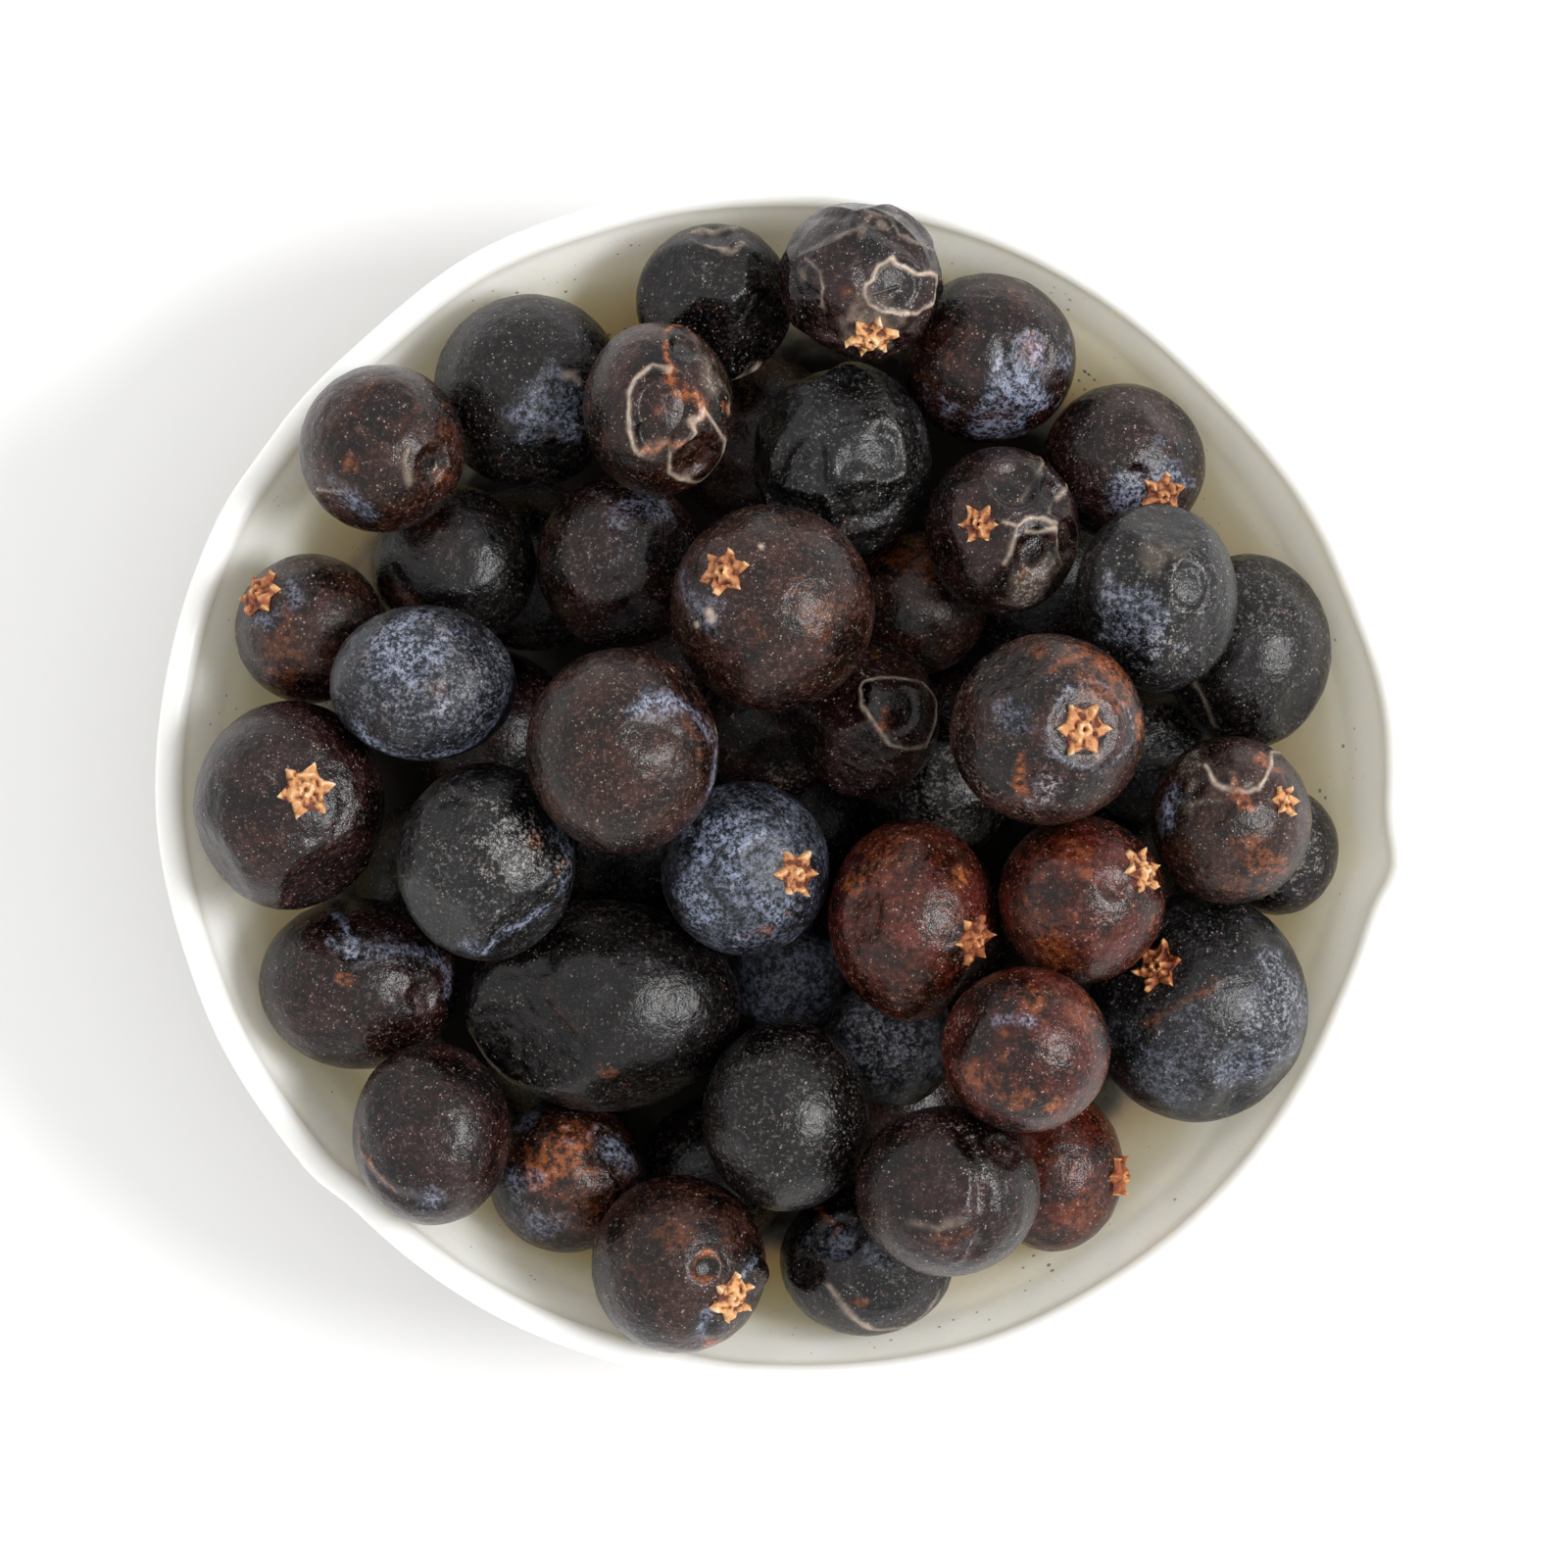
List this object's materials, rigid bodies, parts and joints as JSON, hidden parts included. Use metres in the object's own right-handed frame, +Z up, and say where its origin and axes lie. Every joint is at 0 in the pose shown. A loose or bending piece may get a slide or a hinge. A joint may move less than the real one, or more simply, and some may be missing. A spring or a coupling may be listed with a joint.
{
  "type": "bowl of juniper berries",
  "caption": "Small handmade porcelain bowl with a slightly wavy rounded lip, heaped with wrinkled dried juniper berries, some showing the star-shaped scar at the tip.",
  "frame": {"origin": "middle of the bowl's flat foot, under the middle of the object's bounding box, on the table", "axes": "+Z up, +Y towards the top edge of the picture, +X towards its right edge, where the lip is widest"},
  "size_m": [0.0572, 0.055, 0.0321],
  "materials": {
    "glaze": "warm white gloss glaze over thin hand-built porcelain",
    "skin_black": "near-black wrinkled skin, matt to satin, with fine pale specks",
    "skin_slate": "dark slate skin under a thin grey-blue wax bloom, matt",
    "skin_blue": "blue-black skin under a heavy blue wax bloom, matt",
    "skin_plum": "dark purple-brown skin, satin, with paler ridges",
    "skin_brown": "dark brown skin, satin, with orange-brown patches",
    "skin_red": "dark red-brown skin, satin, flecked with orange"
  },
  "bodies": {
    "root": {"bowl": "glaze", "berry_01": "skin_brown", "berry_02": "skin_black", "berry_03": "skin_black", "berry_04": "skin_plum", "berry_05": "skin_plum", "berry_06": "skin_plum", "berry_07": "skin_brown", "berry_08": "skin_slate", "berry_09": "skin_plum", "berry_10": "skin_slate", "berry_11": "skin_black", "berry_12": "skin_black", "berry_13": "skin_plum", "berry_14": "skin_brown", "berry_15": "skin_brown", "berry_16": "skin_brown", "berry_17": "skin_blue", "berry_18": "skin_plum", "berry_19": "skin_brown", "berry_20": "skin_brown", "berry_21": "skin_plum", "berry_22": "skin_brown", "berry_23": "skin_slate", "berry_24": "skin_brown", "berry_25": "skin_black", "berry_26": "skin_slate", "berry_27": "skin_blue", "berry_28": "skin_red", "berry_29": "skin_red", "berry_30": "skin_black", "berry_31": "skin_plum", "berry_32": "skin_black", "berry_33": "skin_slate", "berry_34": "skin_slate", "berry_35": "skin_red", "berry_36": "skin_slate", "berry_37": "skin_plum", "berry_38": "skin_brown", "berry_39": "skin_black", "berry_40": "skin_brown", "berry_41": "skin_plum", "berry_42": "skin_red", "berry_43": "skin_black", "berry_44": "skin_black", "berry_45": "skin_black", "berry_46": "skin_plum", "berry_47": "skin_black", "berry_48": "skin_brown", "berry_49": "skin_black", "berry_50": "skin_brown", "berry_51": "skin_plum", "berry_52": "skin_black", "berry_53": "skin_black", "berry_54": "skin_brown", "berry_55": "skin_black", "berry_56": "skin_plum", "berry_57": "skin_black", "berry_58": "skin_brown", "berry_59": "skin_black"}
  },
  "joints": []
}
